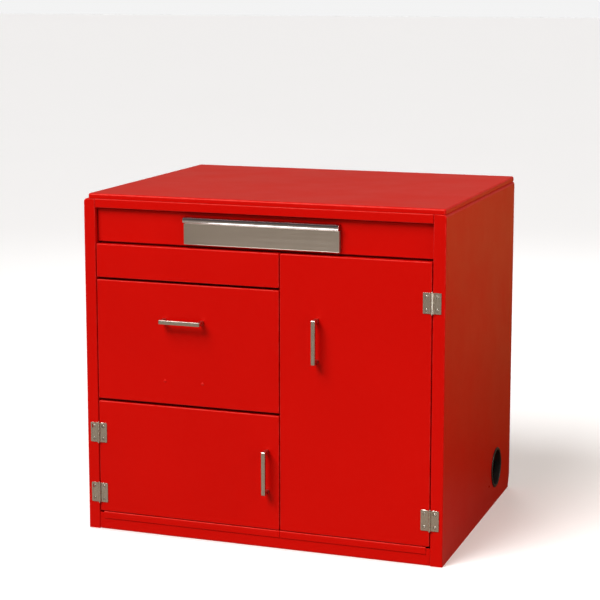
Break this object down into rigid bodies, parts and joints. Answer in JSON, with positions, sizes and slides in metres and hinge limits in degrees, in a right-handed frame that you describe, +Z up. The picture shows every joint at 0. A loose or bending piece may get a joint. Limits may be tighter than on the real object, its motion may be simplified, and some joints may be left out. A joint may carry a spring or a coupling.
{
  "type": "popcorn cart",
  "caption": "Sheet-steel pedestal cabinet for a popcorn machine, with sliding drawers and hinged doors.",
  "frame": {"origin": "on the floor, under the middle of the bounding box", "axes": "+X to the user's right, +Y from the front to the back, +Z up"},
  "size_m": [0.943, 0.758, 0.87],
  "materials": {
    "red_powder_coat": "semi-gloss red powder coat with a fine orange peel",
    "red_inside": "the same red coat, thinner and duller, on the inner sheets",
    "zinc_steel": "bright zinc-plated sheet steel",
    "satin_nickel": "satin nickel plate",
    "stainless_steel": "brushed stainless steel, polished along its nose",
    "black_plastic": "black moulded plastic, slightly glossy"
  },
  "bodies": {
    "cabinet": {"left_side_panel": "red_powder_coat", "right_side_panel": "red_powder_coat", "back_panel": "red_powder_coat", "top_panel": "red_powder_coat", "top_rail": "red_powder_coat", "kick_rail": "red_powder_coat", "left_floor_panel": "red_powder_coat", "right_floor_panel": "red_powder_coat", "centre_partition": "red_inside", "left_liner": "red_inside", "right_slide_bracket": "zinc_steel", "drawer_deck": "red_inside", "drawer_shelf": "red_inside", "cord_grommet": "black_plastic", "left_door_catch": "black_plastic", "right_door_catch": "black_plastic", "top_slide_left_outer": "zinc_steel", "top_slide_right_outer": "zinc_steel", "slim_slide_left_outer": "zinc_steel", "slim_slide_right_outer": "zinc_steel", "deep_slide_left_outer": "zinc_steel", "deep_slide_right_outer": "zinc_steel", "right_upper_frame_leaf": "satin_nickel", "right_upper_hinge_pin": "satin_nickel", "right_lower_frame_leaf": "satin_nickel", "right_lower_hinge_pin": "satin_nickel", "left_upper_frame_leaf": "satin_nickel", "left_upper_hinge_pin": "satin_nickel", "left_lower_frame_leaf": "satin_nickel", "left_lower_hinge_pin": "satin_nickel"},
    "top_drawer": {"top_drawer_front": "red_powder_coat", "top_drawer_box": "zinc_steel", "top_drawer_pull": "stainless_steel", "top_slide_left_inner": "zinc_steel", "top_slide_right_inner": "zinc_steel"},
    "slim_drawer": {"slim_drawer_front": "red_powder_coat", "slim_drawer_box": "zinc_steel", "slim_slide_left_inner": "zinc_steel", "slim_slide_right_inner": "zinc_steel"},
    "deep_drawer": {"deep_drawer_front": "red_powder_coat", "deep_drawer_box": "zinc_steel", "deep_drawer_handle": "satin_nickel", "deep_slide_left_inner": "zinc_steel", "deep_slide_right_inner": "zinc_steel"},
    "left_door": {"left_door_pan": "red_powder_coat", "left_door_liner": "red_inside", "left_door_strike": "zinc_steel", "left_door_handle": "satin_nickel", "left_upper_door_leaf": "satin_nickel", "left_lower_door_leaf": "satin_nickel"},
    "right_door": {"right_door_pan": "red_powder_coat", "right_door_liner": "red_inside", "right_door_strike": "zinc_steel", "right_door_handle": "satin_nickel", "right_upper_door_leaf": "satin_nickel", "right_lower_door_leaf": "satin_nickel"}
  },
  "joints": [
    {"name": "top_drawer_slide", "type": "slide", "parent": "cabinet", "child": "top_drawer", "axis": [0, -1, 0], "range_m": [0, 0.4]},
    {"name": "slim_drawer_slide", "type": "slide", "parent": "cabinet", "child": "slim_drawer", "axis": [0, -1, 0], "range_m": [0, 0.4]},
    {"name": "deep_drawer_slide", "type": "slide", "parent": "cabinet", "child": "deep_drawer", "axis": [0, -1, 0], "range_m": [0, 0.4]},
    {"name": "left_door_hinge", "type": "hinge", "parent": "cabinet", "child": "left_door", "pos_m": [-0.438, -0.3526, 0.176], "axis": [0, 0, -1], "range_deg": [0, 170]},
    {"name": "right_door_hinge", "type": "hinge", "parent": "cabinet", "child": "right_door", "pos_m": [0.438, -0.3526, 0.3795], "axis": [0, 0, 1], "range_deg": [0, 170]}
  ]
}
